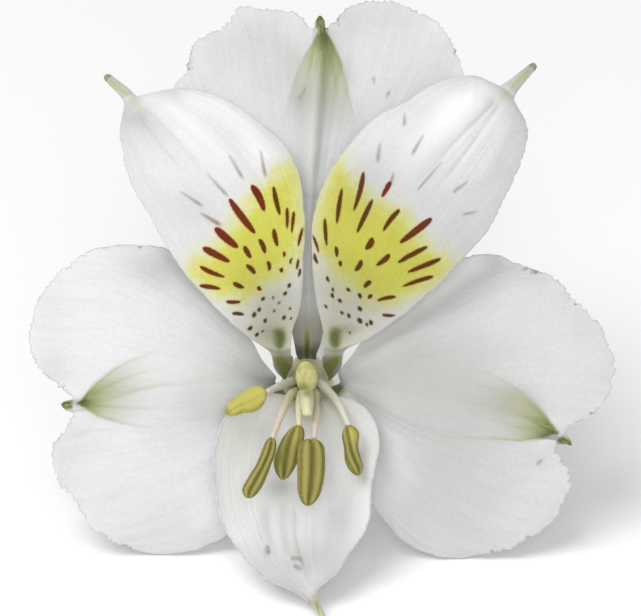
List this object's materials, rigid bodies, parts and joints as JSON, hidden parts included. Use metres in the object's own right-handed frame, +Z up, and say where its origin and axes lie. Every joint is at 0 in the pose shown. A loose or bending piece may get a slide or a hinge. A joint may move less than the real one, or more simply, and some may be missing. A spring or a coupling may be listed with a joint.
{
  "type": "alstroemeria stem",
  "caption": "Cut alstroemeria stem with an open white flower: broad notched outer petals, yellow and red-streaked upper inner petals, olive anthers, a bare pedicel and narrow green leaves.",
  "frame": {"origin": "on the surface that the flower lies on, under the middle of the whole part", "axes": "+Z up from the surface, +Y along the stem towards its cut end, -Y the way the flower faces, +X the flower's right as seen from the front"},
  "size_m": [0.0709, 0.1528, 0.061],
  "materials": {
    "outer_tepal": "soft white petal with fine veins and a green tip, matte",
    "guide_tepal": "white petal with a yellow zone and dark red streaks, matte",
    "lower_tepal": "plain white petal, matte",
    "filament": "pale, slightly translucent",
    "anther": "olive, dry and finely grained",
    "anther_yellow": "yellow-olive, dry and finely grained",
    "ovary": "ribbed green, satin",
    "stem": "finely streaked green, satin",
    "leaf": "parallel-veined green, satin"
  },
  "bodies": {
    "root": {"outer_tepal_top": "outer_tepal", "outer_tepal_left": "outer_tepal", "outer_tepal_right": "outer_tepal", "inner_tepal_upper_left": "guide_tepal", "inner_tepal_upper_right": "guide_tepal", "inner_tepal_lower": "lower_tepal", "filament_1": "filament", "filament_2": "filament", "filament_3": "filament", "filament_4": "filament", "filament_5": "filament", "filament_6": "filament", "anther_1": "anther_yellow", "anther_2": "anther", "anther_3": "anther", "anther_4": "anther", "anther_5": "anther", "anther_6": "anther_yellow", "style": "filament", "ovary": "ovary", "pedicel": "stem", "stem": "stem", "leaf_1": "leaf", "leaf_2": "leaf", "leaf_3": "leaf"}
  },
  "joints": []
}
